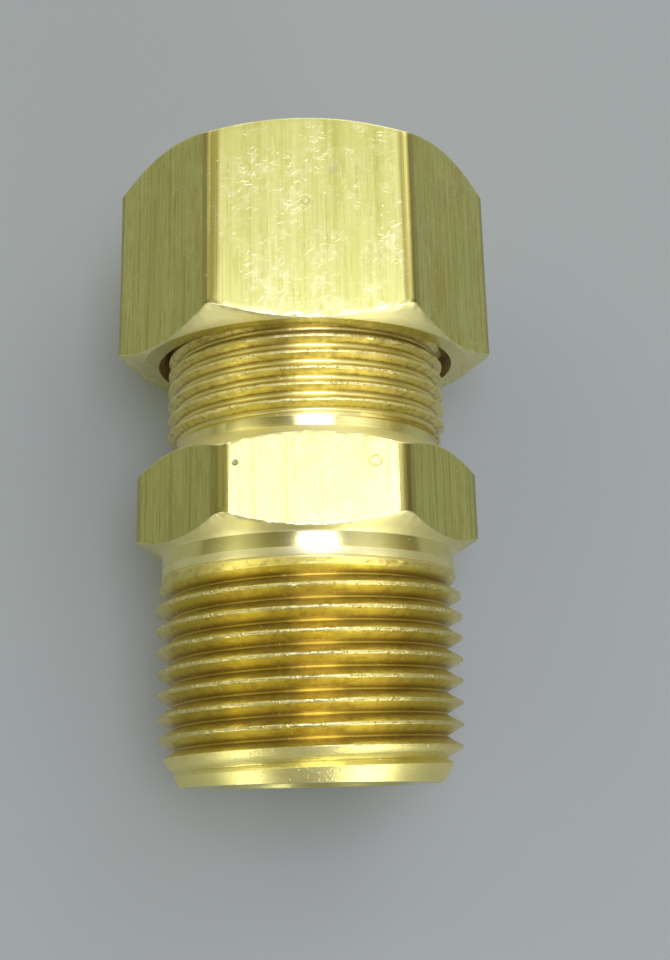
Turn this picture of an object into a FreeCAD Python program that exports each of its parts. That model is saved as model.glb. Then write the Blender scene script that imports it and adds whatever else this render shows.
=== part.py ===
import FreeCAD, Part
import math
import os

from FreeCAD import Vector

# Brass straight compression connector: 3/4 in tube to 3/4-14 NPT male pipe thread. Millimetres.
# Each piece is turned about the local Z axis, with station 0 at the pipe end, and is then laid down:
# the axis runs along +Y towards the nut, and the nut rests on one of its flats at Z = 0.

INCH = 25.4

# Overall stations along the axis, from the pipe-thread end face
BODY_LENGTH = 45.0
NUT_START = 36.9
NUT_END = 55.3

# Hexagons: across flats, corner rounding, and the 30 degree end chamfers
NUT_ACROSS_FLATS = 1.1875 * INCH
NUT_CORNER_RADIUS = 1.0
NUT_CHAMFER_CIRCLE = 15.0
AXIS_HEIGHT = NUT_ACROSS_FLATS / 2
HEX_ACROSS_FLATS = 1.0625 * INCH
HEX_CORNER_RADIUS = 1.85
HEX_START = 19.2
HEX_END = 28.5
HEX_LOWER_CORNER = 20.85
HEX_UPPER_CORNER = 26.6
CHAMFER_SLOPE = math.tan(math.radians(30))

# Tapered pipe thread, 3/4-14 NPT: 1 in 16 on the diameter
PIPE_PITCH = INCH / 14
PIPE_TAPER = 1 / 32
PIPE_DEPTH = 0.8 * PIPE_PITCH
PIPE_CREST_RADIUS = (0.96768 * INCH + PIPE_DEPTH) / 2
PIPE_ROOT_RADIUS = PIPE_CREST_RADIUS - PIPE_DEPTH
PIPE_CREST_FLAT = 0.1
PIPE_TOP_CREST = 15.15
PIPE_END_RADIUS = 11.2
PIPE_END_CHAMFER = 3.0
PIPE_FULL_CREST_END = 14.9
SHANK_START = 17.4
SHANK_RADIUS = 12.95
PIPE_RUNOUT_START = 15.6
PIPE_RUNOUT_END = 18.3
BLANK_TURN = 295

# Straight compression thread, 1-18, with the allowance shared between the body and the nut
FINE_PITCH = INCH / 18
FINE_RADIUS = 1.0 * INCH / 2
FINE_ALLOWANCE = 0.09
FINE_RIDGE_RADIUS = FINE_RADIUS - FINE_ALLOWANCE
FINE_ROOT_RADIUS = FINE_RADIUS - 0.61343 * FINE_PITCH - FINE_ALLOWANCE
FINE_TOP_CREST = 30.58
FINE_START = 29.6
FINE_END_CHAMFER = 1.1
RELIEF_RADIUS = 11.72

# Thread cutting: flank slope, how far a cutter stands proud, and how far a thread runs past its piece
FLANK_SLOPE = math.tan(math.radians(30))
OVERCUT = 0.05
RUN_OFF = 5.0

# Inside of the body
WATERWAY_RADIUS = 8.0
WATERWAY_CHAMFER = 0.5
SOCKET_RADIUS = 9.6
SOCKET_BOTTOM = 30.5
SEAT_MOUTH_RADIUS = 11.1
SEAT_SLOPE = math.tan(math.radians(30))

# Inside of the nut
MOUTH_RADIUS = 13.5
NUT_MINOR_RADIUS = FINE_RADIUS - 0.54127 * FINE_PITCH + FINE_ALLOWANCE
NUT_ROOT_RADIUS = FINE_RADIUS + FINE_ALLOWANCE
NUT_HOLE_RADIUS = 9.9
NUT_SEAT_END = 53.1
NUT_UNDERCUT_RADIUS = 12.95
NUT_UNDERCUT_START = 49.4
NUT_UNDERCUT_END = 50.7

# Compression sleeve
SLEEVE_BORE_RADIUS = 9.62
SLEEVE_TIP_RADIUS = 9.92
SLEEVE_OUTER_RADIUS = 11.0
SLEEVE_SLOPE = math.tan(math.radians(27))
SLEEVE_GAP = 0.07


def revolve(outline):
    """Solid of revolution about Z from a closed outline of (radius, station) points."""
    points = [Vector(radius, 0, station) for radius, station in outline]
    face = Part.Face(Part.makePolygon(points + points[:1]))
    return face.revolve(Vector(0, 0, 0), Vector(0, 0, 1), 360)


def hexagon(across_flats, corner_radius, start, end):
    """Hexagonal prism about Z with rounded corners and one flat facing -Y."""
    corner = across_flats / math.sqrt(3)
    angles = [math.radians(60 * k) for k in range(6)]
    points = [Vector(corner * math.cos(a), corner * math.sin(a), start) for a in angles]
    prism = Part.Face(Part.makePolygon(points + points[:1])).extrude(Vector(0, 0, end - start))
    upright = [e for e in prism.Edges if abs(e.tangentAt(e.FirstParameter).z) > 0.99]
    return prism.makeFillet(corner_radius, upright)


def corner_reach(across_flats, corner_radius):
    """Distance from the axis to the tip of a rounded hexagon corner."""
    return across_flats / math.sqrt(3) - corner_radius * (2 / math.sqrt(3) - 1)


def helix_sweep(profile, pitch, top_crest, start, end, taper=0.0):
    """Sweeps a closed (radius, offset) profile along a right-hand helix from about start to end.

    The offsets are measured along the axis from the helix, which passes the side facing -Y at the
    station top_crest, or a whole number of pitches from it. With a taper, the radii hold at station 0.
    """
    phase = top_crest + pitch / 4
    first = phase + pitch * math.floor((start - phase) / pitch)
    guide_radius = profile[0][0] + taper * first
    guide = Part.makeHelix(pitch, end - first, guide_radius, math.degrees(math.atan(taper)))
    guide.translate(Vector(0, 0, first))
    points = [Vector(radius + taper * (first + offset), 0, first + offset) for radius, offset in profile]
    section = Part.makePolygon(points + points[:1])
    return Part.Wire(guide).makePipeShell([section], True, True)


def groove_profile(root_radius, root_half, open_radius):
    """Closed outline of a thread groove: a narrow flat root and 60 degree flanks."""
    open_half = root_half + abs(open_radius - root_radius) * FLANK_SLOPE
    return [
        (root_radius, -root_half),
        (root_radius, root_half),
        (open_radius, open_half),
        (open_radius, -open_half),
    ]


def pipe_groove():
    """The groove of the tapered thread, ending in a run-out cone that climbs to the shank."""
    open_half = (PIPE_PITCH - PIPE_CREST_FLAT) / 2
    root_half = open_half - PIPE_DEPTH * FLANK_SLOPE
    profile = groove_profile(PIPE_ROOT_RADIUS, root_half, PIPE_CREST_RADIUS + OVERCUT)
    middle = PIPE_TOP_CREST + PIPE_PITCH / 2
    groove = helix_sweep(profile, PIPE_PITCH, middle, -2 * PIPE_PITCH, PIPE_RUNOUT_END, PIPE_TAPER)
    runout = revolve(
        [
            (PIPE_ROOT_RADIUS, PIPE_RUNOUT_START - 1),
            (PIPE_ROOT_RADIUS, PIPE_RUNOUT_START),
            (PIPE_CREST_RADIUS + 1, PIPE_RUNOUT_END),
            (PIPE_CREST_RADIUS + 1, PIPE_RUNOUT_END + 3 * PIPE_PITCH),
            (PIPE_ROOT_RADIUS, PIPE_RUNOUT_END + 3 * PIPE_PITCH),
        ]
    )
    return groove.cut(runout)


def fine_groove(start, end):
    """The groove of the body's straight thread."""
    profile = groove_profile(FINE_ROOT_RADIUS, FINE_PITCH / 8, FINE_RIDGE_RADIUS + OVERCUT)
    return helix_sweep(profile, FINE_PITCH, FINE_TOP_CREST + FINE_PITCH / 2, start, end)


def nut_groove():
    """The groove of the nut's internal thread, in mesh with the body's ridges."""
    profile = groove_profile(NUT_ROOT_RADIUS, FINE_PITCH / 16, NUT_MINOR_RADIUS - OVERCUT)
    end = (NUT_UNDERCUT_START + NUT_UNDERCUT_END) / 2
    return helix_sweep(profile, FINE_PITCH, FINE_TOP_CREST, NUT_START - RUN_OFF, end)


def body_hexagon():
    """The wrench hexagon, its 30 degree cones running down to the shank and the relief groove."""
    tip = corner_reach(HEX_ACROSS_FLATS, HEX_CORNER_RADIUS)
    wide = tip + 1
    envelope = revolve(
        [
            (0, HEX_START),
            (tip - (HEX_LOWER_CORNER - HEX_START) / CHAMFER_SLOPE, HEX_START),
            (wide, HEX_LOWER_CORNER + CHAMFER_SLOPE),
            (wide, HEX_UPPER_CORNER - CHAMFER_SLOPE),
            (tip - (HEX_END - HEX_UPPER_CORNER) / CHAMFER_SLOPE, HEX_END),
            (0, HEX_END),
        ]
    )
    prism = hexagon(HEX_ACROSS_FLATS, HEX_CORNER_RADIUS, HEX_START - 1, HEX_END + 1)
    return prism.common(envelope)


def pipe_end():
    """The tapered, threaded end and the plain shank. The thread is cut on a longer rod, then trimmed.

    The rod is turned about its axis so that its seam stays clear of the cutter's faces.
    """
    rod_start = -5 * PIPE_PITCH
    rod = revolve(
        [
            (0, rod_start),
            (PIPE_CREST_RADIUS + PIPE_TAPER * rod_start, rod_start),
            (PIPE_CREST_RADIUS + PIPE_TAPER * PIPE_FULL_CREST_END, PIPE_FULL_CREST_END),
            (SHANK_RADIUS, SHANK_START),
            (SHANK_RADIUS, HEX_LOWER_CORNER),
            (0, HEX_LOWER_CORNER),
        ]
    )
    rod.rotate(Vector(0, 0, 0), Vector(0, 0, 1), BLANK_TURN)
    chamfer_top = PIPE_CREST_RADIUS + PIPE_TAPER * PIPE_END_CHAMFER
    chamfer_slope = PIPE_END_CHAMFER / (chamfer_top - PIPE_END_RADIUS)
    wide = 2 * PIPE_CREST_RADIUS
    trimming = revolve(
        [
            (0, 2 * rod_start),
            (wide, 2 * rod_start),
            (wide, (wide - PIPE_END_RADIUS) * chamfer_slope),
            (PIPE_END_RADIUS, 0),
            (0, 0),
        ]
    )
    return rod.cut(pipe_groove()).cut(trimming)


def nut_end():
    """The straight, threaded end of the body. The thread is cut on a longer rod, then trimmed to shape."""
    rod_start = FINE_START - 2 * RUN_OFF
    rod_length = BODY_LENGTH + 2 * RUN_OFF - rod_start
    rod = Part.makeCylinder(FINE_RIDGE_RADIUS, rod_length, Vector(0, 0, rod_start))
    envelope = revolve(
        [
            (0, HEX_UPPER_CORNER),
            (RELIEF_RADIUS, HEX_UPPER_CORNER),
            (RELIEF_RADIUS, FINE_START - 0.2),
            (FINE_RIDGE_RADIUS, FINE_START + 0.3),
            (FINE_RIDGE_RADIUS, BODY_LENGTH - FINE_END_CHAMFER),
            (FINE_RIDGE_RADIUS - FINE_END_CHAMFER, BODY_LENGTH),
            (0, BODY_LENGTH),
        ]
    )
    threaded = rod.cut(fine_groove(FINE_START - RUN_OFF, BODY_LENGTH + RUN_OFF))
    return threaded.common(envelope)


def waterway():
    """Everything hollow in the body: the bore, the tube socket and the sleeve seat."""
    seat_depth = (SEAT_MOUTH_RADIUS - SOCKET_RADIUS) / SEAT_SLOPE
    return revolve(
        [
            (0, -1),
            (WATERWAY_RADIUS + WATERWAY_CHAMFER + 1, -1),
            (WATERWAY_RADIUS, WATERWAY_CHAMFER),
            (WATERWAY_RADIUS, SOCKET_BOTTOM),
            (SOCKET_RADIUS, SOCKET_BOTTOM),
            (SOCKET_RADIUS, BODY_LENGTH - seat_depth),
            (SEAT_MOUTH_RADIUS + SEAT_SLOPE, BODY_LENGTH + 1),
            (0, BODY_LENGTH + 1),
        ]
    )


def connector_body():
    return pipe_end().fuse(body_hexagon()).fuse(nut_end()).cut(waterway())


def nut_outside():
    """The nut's hexagonal prism between its two 30 degree chamfers."""
    tip = corner_reach(NUT_ACROSS_FLATS, NUT_CORNER_RADIUS)
    chamfer = (tip - NUT_CHAMFER_CIRCLE) * CHAMFER_SLOPE
    envelope = revolve(
        [
            (0, NUT_START),
            (NUT_CHAMFER_CIRCLE, NUT_START),
            (tip + 1, NUT_START + chamfer + CHAMFER_SLOPE),
            (tip + 1, NUT_END - chamfer - CHAMFER_SLOPE),
            (NUT_CHAMFER_CIRCLE, NUT_END),
            (0, NUT_END),
        ]
    )
    prism = hexagon(NUT_ACROSS_FLATS, NUT_CORNER_RADIUS, NUT_START - 1, NUT_END + 1)
    return prism.common(envelope)


def compression_nut():
    """The nut. Its thread is cut in a longer blank, which then gets its mouth, undercut and outside."""
    blank_start = NUT_START - 1.2 * RUN_OFF
    wide = NUT_ACROSS_FLATS
    blank = revolve(
        [
            (NUT_MINOR_RADIUS, blank_start),
            (wide, blank_start),
            (wide, NUT_END + RUN_OFF),
            (NUT_HOLE_RADIUS, NUT_END + RUN_OFF),
            (NUT_HOLE_RADIUS, NUT_SEAT_END),
            (NUT_MINOR_RADIUS, NUT_SEAT_END - (NUT_MINOR_RADIUS - NUT_HOLE_RADIUS)),
        ]
    )
    mouth_bottom = NUT_START + MOUTH_RADIUS - NUT_HOLE_RADIUS
    mouth = revolve(
        [
            (0, blank_start - 1),
            (wide + 1, blank_start - 1),
            (wide + 1, NUT_START),
            (MOUTH_RADIUS, NUT_START),
            (NUT_HOLE_RADIUS, mouth_bottom),
            (0, mouth_bottom),
        ]
    )
    undercut = revolve(
        [
            (NUT_HOLE_RADIUS, NUT_UNDERCUT_START),
            (NUT_UNDERCUT_RADIUS, NUT_UNDERCUT_START),
            (NUT_UNDERCUT_RADIUS, NUT_UNDERCUT_END),
            (NUT_HOLE_RADIUS, NUT_UNDERCUT_END),
        ]
    )
    return blank.cut(nut_groove()).cut(mouth).cut(undercut).common(nut_outside())


def compression_sleeve():
    """The double-tapered ring, a hair clear of the seats in the body and in the nut."""
    lower_seat = BODY_LENGTH - (SEAT_MOUTH_RADIUS - SLEEVE_TIP_RADIUS - SLEEVE_GAP) / SEAT_SLOPE
    upper_seat = NUT_SEAT_END - (SLEEVE_TIP_RADIUS + SLEEVE_GAP - NUT_HOLE_RADIUS)
    taper_length = (SLEEVE_OUTER_RADIUS - SLEEVE_TIP_RADIUS) / SLEEVE_SLOPE
    return revolve(
        [
            (SLEEVE_BORE_RADIUS, lower_seat),
            (SLEEVE_TIP_RADIUS, lower_seat),
            (SLEEVE_OUTER_RADIUS, lower_seat + taper_length),
            (SLEEVE_OUTER_RADIUS, upper_seat - taper_length),
            (SLEEVE_TIP_RADIUS, upper_seat),
            (SLEEVE_BORE_RADIUS, upper_seat),
        ]
    )


def lay_down(shape):
    """Turns local Z to +Y and local -Y to +Z, and centres the fitting over the origin."""
    laid = shape.copy()
    laid.rotate(Vector(0, 0, 0), Vector(1, 0, 0), -90)
    laid.translate(Vector(0, -NUT_END / 2, AXIS_HEIGHT))
    return laid


PIECES = {
    "connector_body": connector_body,
    "compression_nut": compression_nut,
    "compression_sleeve": compression_sleeve,
}

os.makedirs("parts", exist_ok=True)
for name, make in PIECES.items():
    piece = lay_down(make())
    if len(piece.Solids) != 1 or not piece.isValid():
        raise ValueError(f"{name} isn't one valid solid")
    piece.exportStep(f"parts/{name}.step")
    box = piece.BoundBox
    print(f"{name}: {piece.Volume:.1f} mm3, {box.XLength:.2f} x {box.YLength:.2f} x {box.ZLength:.2f} mm")
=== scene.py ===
import math

import bmesh
import bpy
import numpy as np
from mathutils import Matrix, Vector


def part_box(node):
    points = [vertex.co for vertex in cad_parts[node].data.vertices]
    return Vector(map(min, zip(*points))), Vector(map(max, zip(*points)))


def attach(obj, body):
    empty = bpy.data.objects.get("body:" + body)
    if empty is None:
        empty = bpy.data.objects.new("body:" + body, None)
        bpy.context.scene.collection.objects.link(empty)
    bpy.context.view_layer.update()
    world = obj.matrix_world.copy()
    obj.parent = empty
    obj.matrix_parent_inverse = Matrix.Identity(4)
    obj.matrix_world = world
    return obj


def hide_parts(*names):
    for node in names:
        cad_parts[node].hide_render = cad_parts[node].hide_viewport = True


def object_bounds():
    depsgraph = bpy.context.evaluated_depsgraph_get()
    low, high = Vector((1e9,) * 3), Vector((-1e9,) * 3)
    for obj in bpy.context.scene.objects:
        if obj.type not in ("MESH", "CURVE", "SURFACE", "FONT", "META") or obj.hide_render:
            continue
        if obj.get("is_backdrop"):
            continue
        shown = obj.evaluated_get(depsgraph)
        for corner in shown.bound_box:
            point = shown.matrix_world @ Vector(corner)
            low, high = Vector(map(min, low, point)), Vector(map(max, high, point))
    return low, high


# Looks for a brass compression connector lying on its nut. Lengths in this script are millimetres, and
# stations run along the axis from the pipe-thread end; place() turns them into metres in the part's frame.

MM = 0.001
INCH = 25.4
TAN_30 = math.tan(math.radians(30))

# Where the fitting lies
HALF_LENGTH = 27.65
NUT_ACROSS_FLATS = 1.1875 * INCH
AXIS_HEIGHT = NUT_ACROSS_FLATS / 2

# Nut
NUT_START = 36.9
NUT_END = 55.3
NUT_CORNER_RADIUS = 1.0
NUT_CHAMFER_CIRCLE = 15.0
NUT_CONE_START = NUT_CHAMFER_CIRCLE + 0.01
MOUTH_RADIUS = 13.5
NUT_HOLE_RADIUS = 9.9
NUT_SEAT_START = 50.974
NUT_SEAT_END = 53.1
UNDERCUT_RADIUS = 12.95
UNDERCUT_START = 49.4
UNDERCUT_END = 50.7
NUT_MINOR_RADIUS = 12.026

# Body hexagon
HEX_ACROSS_FLATS = 1.0625 * INCH
HEX_CORNER_RADIUS = 1.85
HEX_LOWER_CORNER = 20.85
HEX_UPPER_CORNER = 26.6
HEX_END = 28.5
HEX_FACE_RADIUS = 12.0

# Pipe thread
PIPE_PITCH = INCH / 14
PIPE_TAPER = 1 / 32
PIPE_ROOT_RADIUS = 11.564
PIPE_CREST_RADIUS = 13.015
PIPE_TOP_CREST = 15.15
PIPE_END_RADIUS = 11.2
PIPE_END_CHAMFER = 3.0
FULL_CREST_END = 14.9
RUNOUT_START = 15.6
RUNOUT_CLIMB = 0.908

# Shank, whose end next to the pipe thread is rough and has a small groove
SHANK_START = 17.4
PIPE_SKIN_END = SHANK_START - 0.1
SHANK_SKIN_START = SHANK_START - 0.05
SHANK_RADIUS = 12.95
ROUGH_SHANK_RADIUS = 12.86
ROUGH_SHANK_END = 18.2
GROOVE_START = 17.42
GROOVE_DEPTH = 0.15
GROOVE_WIDTH = 0.08
GROOVE_END = 0.14

# Compression thread and relief
FINE_PITCH = INCH / 18
FINE_ROOT_RADIUS = 11.744
FINE_RIDGE_RADIUS = 12.58
FINE_TOP_CREST = 30.58
FINE_START = 29.4
FINE_RISE = 0.5
FINE_END_CHAMFER = 1.1
RELIEF_RADIUS = 11.72
BODY_LENGTH = 45.0

# Threads: pitch, station of one crest over the axis, and the height above the root by distance along the
# axis from a crest. The nut's is its depth below its inner ridges, by distance from the body's crest.
PIPE_THREAD = (PIPE_PITCH, PIPE_TOP_CREST,
               ((0.0, 0.08, 0.15, 0.22, 0.5, 0.86, 0.907), (1.43, 1.41, 1.34, 1.22, 0.71, 0.07, 0.045)))
FINE_THREAD = (FINE_PITCH, FINE_TOP_CREST,
               ((0.0, 0.1, 0.19, 0.5, 0.6, 0.7056), (0.836, 0.82, 0.68, 0.08, 0.01, 0.0)))
NUT_THREAD = (FINE_PITCH, FINE_TOP_CREST,
              ((0.0, 0.088, 0.2, 0.36, 0.5, 0.56, 0.7056), (0.764, 0.764, 0.57, 0.293, 0.05, 0.0, 0.0)))

# Inside of the body
WATERWAY_RADIUS = 8.0
WATERWAY_CHAMFER = 0.5
SOCKET_RADIUS = 9.6
SOCKET_BOTTOM = 30.5
SEAT_MOUTH_RADIUS = 11.1
SEAT_START = 42.402

# Sleeve; its skin starts and ends in the middle of the bore, where the two ends meet
SLEEVE_START = 43.078
SLEEVE_END = 52.97
SLEEVE_BORE_RADIUS = 9.62
SLEEVE_TIP_RADIUS = 9.92
SLEEVE_OUTER_RADIUS = 11.0
SLEEVE_TAPER_LENGTH = 2.12
SLEEVE_MIDDLE = (SLEEVE_START + SLEEVE_END) / 2
SLEEVE_OVERLAP = 0.2

# Eased edges: their width, the turned shank's, and the most of an outline's side that an edge may take
EDGE = 0.07
SHANK_EDGE = 0.02
EDGE_SHARE = 0.3

# Columns of points round the axis, in degrees over each sixth of a turn
SECTOR = 60
CORNER_FROM = 25.5
CORNER_COLUMNS = 8
MIDDLE_COLUMNS = 41

# Rows of a hexagon: places over the cones, rows between them, and where the burred edge row lies
LOWER_CONE_ROWS = (0.0, 0.35, 0.7)
UPPER_CONE_ROWS = (0.3, 0.65, 1.0)
FLAT_ROWS = 15
FLAT_MARGIN = 0.03
BURR_IN = 0.01
BURR_ON = 0.015

# Burrs: how rough a hexagon's two edges are, the shares of that just inside and outside an edge, and the
# wavelengths, threshold and slide of the burrs on edges and on crests
BODY_BURRS = (0.042, 0.025)
BODY_SEED = 31
NUT_BURRS = (0.042, 0.008)
NUT_SEED = 71
INNER_BURR_SHARE = 0.5
OUTER_BURR_SHARE = 0.35
EDGE_BURRS = ((0.45, 0.8, 0.5), 1.1, 0.7)
CREST_BURRS = ((0.6, 0.9, 0.7), 1.0, 0.6)

# Burrs of a thread's crests: how rough they are, seed, width of a crest and the station they start at
NO_BURRS = (0.0, 0, 0.0, 0.0)
PIPE_BURRS = (0.03, 11, 0.11, PIPE_END_CHAMFER)
FINE_BURRS = (0.022, 51, 0.15, 0.0)

# Rows of a helix that are kept before its first station and past its last, in pitches
ROWS_BEFORE = 1.2
ROWS_PAST = 0.3

# Points this close, in metres, become one, and edges sharper than this aren't smoothed
MERGE_DISTANCE = 2e-6
SHARP_ANGLE = math.radians(40)


# ---------------------------------------------------------------- mesh rows

def column_angles():
    """Angles round the axis from the upward side, in radians, closer together at the hexagon corners."""
    corner = np.linspace(CORNER_FROM, SECTOR / 2, CORNER_COLUMNS)
    middle = np.linspace(-CORNER_FROM, CORNER_FROM, MIDDLE_COLUMNS)
    sector = np.concatenate([-corner[:0:-1], middle, corner[1:-1]])
    turns = [sector + SECTOR * k for k in range(6)]
    return np.radians(np.concatenate(turns + [[sector[0] + 360]]))


ANGLES = column_angles()
SINES = np.sin(ANGLES)
COSINES = np.cos(ANGLES)


def place(radii, stations):
    """Points in metres for a row of radii and stations, one for each column."""
    x = radii * SINES
    y = stations - HALF_LENGTH
    z = AXIS_HEIGHT + radii * COSINES
    return np.stack([x, y, z], axis=1) * MM


def ripple(points, wavelength, seed, waves=14):
    """Smooth random values of about unit size at points in metres, with no seam anywhere."""
    random = np.random.default_rng(seed)
    directions = random.normal(size=(waves, 3))
    directions /= np.linalg.norm(directions, axis=1)[:, None]
    lengths = wavelength * MM * random.uniform(0.7, 1.6, waves)
    phases = random.uniform(0, 2 * math.pi, waves)
    steps = points @ (directions / lengths[:, None]).T * 2 * math.pi + phases
    return np.sin(steps).sum(axis=1) * math.sqrt(2 / waves)


def burred(radii, stations, size, seed, kind):
    """How far burrs move a row of points away from the axis and along it, in millimetres."""
    (fine, coarse, lengthwise), threshold, slide = kind
    points = place(radii, stations)
    lift = ripple(points, fine, seed) * 0.5 + np.maximum(ripple(points, coarse, seed + 1) - threshold, 0)
    return size * lift, size * ripple(points, lengthwise, seed + 2) * slide


class Skin:
    """A closed skin built from rows of points round the axis, each band with its own finish."""

    def __init__(self):
        self.rows = []
        self.finishes = []

    def add(self, radii, stations, finish, burr=0.0, seed=0):
        """One row. radii and stations are a value for each column, or one value for them all."""
        radii = np.broadcast_to(radii, ANGLES.shape).astype(float)
        stations = np.broadcast_to(stations, ANGLES.shape).astype(float)
        if burr:
            lift, slide = burred(radii, stations, burr, seed, EDGE_BURRS)
            radii = radii + lift
            stations = stations + slide
        self.rows.append(place(radii, stations))
        self.finishes.append(finish)

    def add_outline(self, outline, finish, ease=EDGE):
        """Turned rows along an outline of (radius, station) points, with its inner corners eased."""
        points = [np.array(p, float) for p in outline]
        self.add(*points[0], finish)
        for before, point, after in zip(points, points[1:], points[2:]):
            for side in (before - point, after - point):
                length = np.linalg.norm(side)
                self.add(*(point + side / length * min(ease, EDGE_SHARE * length)), finish)
        self.add(*points[-1], finish)

    def add_helix(self, start, end, thread, radius_at, finish, burrs=NO_BURRS):
        """Rows that follow a right-hand helix between two stations, held at the stations past its ends.

        burrs are the roughness of the crests, its seed, the width of a crest and the station they start at.
        """
        burr, seed, crest_width, burr_from = burrs
        pitch, top_crest, (distances, _) = thread
        steps = sorted(set(np.round(np.concatenate([-np.array(distances[:-1]), distances]), 5)))
        low, high = min(start, end), max(start, end)
        first = math.floor((low - top_crest) / pitch) - 2
        last = math.ceil((high - top_crest) / pitch) + 2
        leads = [top_crest + k * pitch + step for k in range(first, last) for step in steps]
        leads = [lead for lead in leads if low - pitch * ROWS_BEFORE < lead < high + pitch * ROWS_PAST]
        if start > end:
            leads.reverse()
        for lead in leads:
            stations = np.clip(lead + pitch * (ANGLES / (2 * math.pi)), low, high)
            from_crest = np.abs((lead - top_crest + pitch / 2) % pitch - pitch / 2)
            radii = radius_at(stations)
            if from_crest < crest_width:
                inside = (stations > max(low, burr_from)) & (stations < high)
                lift, slide = burred(radii, stations, burr, seed, CREST_BURRS)
                radii = radii + lift * inside
                stations = np.clip(stations + slide * inside, low, high)
            self.rows.append(place(radii, stations))
            self.finishes.append(finish)

    def close(self):
        self.rows.append(self.rows[0])
        self.finishes.append(self.finishes[0])

    def quads(self):
        """The faces between neighbouring rows, and the finish of each."""
        columns = len(ANGLES)
        faces = []
        marks = []
        for k in range(1, len(self.rows)):
            near = np.arange(columns - 1) + (k - 1) * columns
            faces.extend(np.stack([near, near + 1, near + 1 + columns, near + columns], axis=1).tolist())
            marks.extend([self.finishes[k]] * (columns - 1))
        return faces, marks

    def build(self, name, materials, node):
        """The mesh object, inside the CAD node's box, with points merged and faces turned outwards."""
        self.close()
        lowest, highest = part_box(node)
        points = np.clip(np.concatenate(self.rows), lowest, highest)
        faces, marks = self.quads()
        mesh = bpy.data.meshes.new(name)
        mesh.from_pydata(points.tolist(), [], faces)
        for material in materials:
            mesh.materials.append(material)
        mesh.polygons.foreach_set("material_index", np.array(marks, np.int32))
        merge_points(mesh)
        mesh.shade_smooth()
        mesh.set_sharp_from_angle(angle=SHARP_ANGLE)
        thing = bpy.data.objects.new(name, mesh)
        bpy.context.scene.collection.objects.link(thing)
        return thing


def merge_points(mesh):
    work = bmesh.new()
    work.from_mesh(mesh)
    bmesh.ops.remove_doubles(work, verts=work.verts, dist=MERGE_DISTANCE)
    bmesh.ops.dissolve_degenerate(work, edges=work.edges, dist=MERGE_DISTANCE)
    bmesh.ops.recalc_face_normals(work, faces=work.faces)
    work.to_mesh(mesh)
    work.free()


def hexagon_radius(across_flats, corner_radius):
    """Distance from the axis to a hexagon with rounded corners, at each column."""
    apothem = across_flats / 2
    turn = np.abs((ANGLES + math.pi / 6) % (math.pi / 3) - math.pi / 6)
    flat = apothem / np.cos(turn)
    centre = (apothem - corner_radius) / math.cos(math.pi / 6)
    aside = centre * np.sin(math.pi / 6 - turn)
    rounded = centre * np.cos(math.pi / 6 - turn) + np.sqrt(np.maximum(corner_radius**2 - aside**2, 0))
    return np.where(apothem * np.tan(turn) > (apothem - corner_radius) * TAN_30, rounded, flat)


def add_hexagon(skin, radii, lower, upper, inner, burrs, seed):
    """A hexagon between two 30 degree cones. lower and upper give a cone's station at a radius.

    inner holds the radii where the lower and the upper cone begin, and burrs how rough their edges are.
    """
    lower_inner, upper_inner = inner
    lower_burr, upper_burr = burrs
    rim = radii - EDGE
    edge_low = lower(radii)
    edge_high = upper(radii)
    for part in LOWER_CONE_ROWS:
        row = lower_inner + (rim - lower_inner) * part
        skin.add(row, lower(row), CONE)
    skin.add(rim, lower(rim), CONE, lower_burr * INNER_BURR_SHARE, seed)
    skin.add(radii - BURR_IN, edge_low + BURR_ON, CONE, lower_burr, seed + 3)
    skin.add(radii, edge_low + EDGE, CONE, lower_burr * OUTER_BURR_SHARE, seed + 6)
    for part in np.linspace(FLAT_MARGIN, 1 - FLAT_MARGIN, FLAT_ROWS):
        skin.add(radii, edge_low + (edge_high - edge_low) * part, DRAWN)
    skin.add(radii, edge_high - EDGE, DRAWN, upper_burr * OUTER_BURR_SHARE, seed + 9)
    skin.add(radii - BURR_IN, edge_high - BURR_ON, CONE, upper_burr, seed + 12)
    skin.add(rim, upper(rim), CONE, upper_burr * INNER_BURR_SHARE, seed + 15)
    for part in UPPER_CONE_ROWS:
        row = rim + (upper_inner - rim) * part
        skin.add(row, upper(row), CONE)


# ---------------------------------------------------------------- the three pieces

TURNED, DRAWN, PIPE, FINE, BORE, CONE = range(6)


def thread_height(stations, thread):
    """Height above the root of a right-hand thread, for a row of stations, one for each column."""
    pitch, top_crest, profile = thread
    offset = stations - top_crest - pitch * ANGLES / (2 * math.pi)
    return np.interp(np.abs((offset + pitch / 2) % pitch - pitch / 2), *profile)


def pipe_radius(stations):
    """The pipe thread under its end chamfer, its tapered crests and the fall to the shank."""
    outlines = {0: PIPE_END_RADIUS,
                PIPE_END_CHAMFER: PIPE_CREST_RADIUS + PIPE_TAPER * PIPE_END_CHAMFER,
                FULL_CREST_END: PIPE_CREST_RADIUS + PIPE_TAPER * FULL_CREST_END,
                SHANK_START: SHANK_RADIUS,
                HEX_LOWER_CORNER: SHANK_RADIUS}
    envelope = np.interp(stations, list(outlines), list(outlines.values()))
    thread = PIPE_ROOT_RADIUS + PIPE_TAPER * stations + thread_height(stations, PIPE_THREAD)
    runout = PIPE_ROOT_RADIUS + RUNOUT_CLIMB * (stations - RUNOUT_START)
    return np.minimum(envelope, np.maximum(thread, runout))


def fine_radius(stations):
    """The body's compression thread, from the relief to the end chamfer."""
    outlines = {FINE_START: RELIEF_RADIUS,
                FINE_START + FINE_RISE: FINE_RIDGE_RADIUS,
                BODY_LENGTH - FINE_END_CHAMFER: FINE_RIDGE_RADIUS,
                BODY_LENGTH: FINE_RIDGE_RADIUS - FINE_END_CHAMFER}
    envelope = np.interp(stations, list(outlines), list(outlines.values()))
    return np.minimum(envelope, FINE_ROOT_RADIUS + thread_height(stations, FINE_THREAD))


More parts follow.
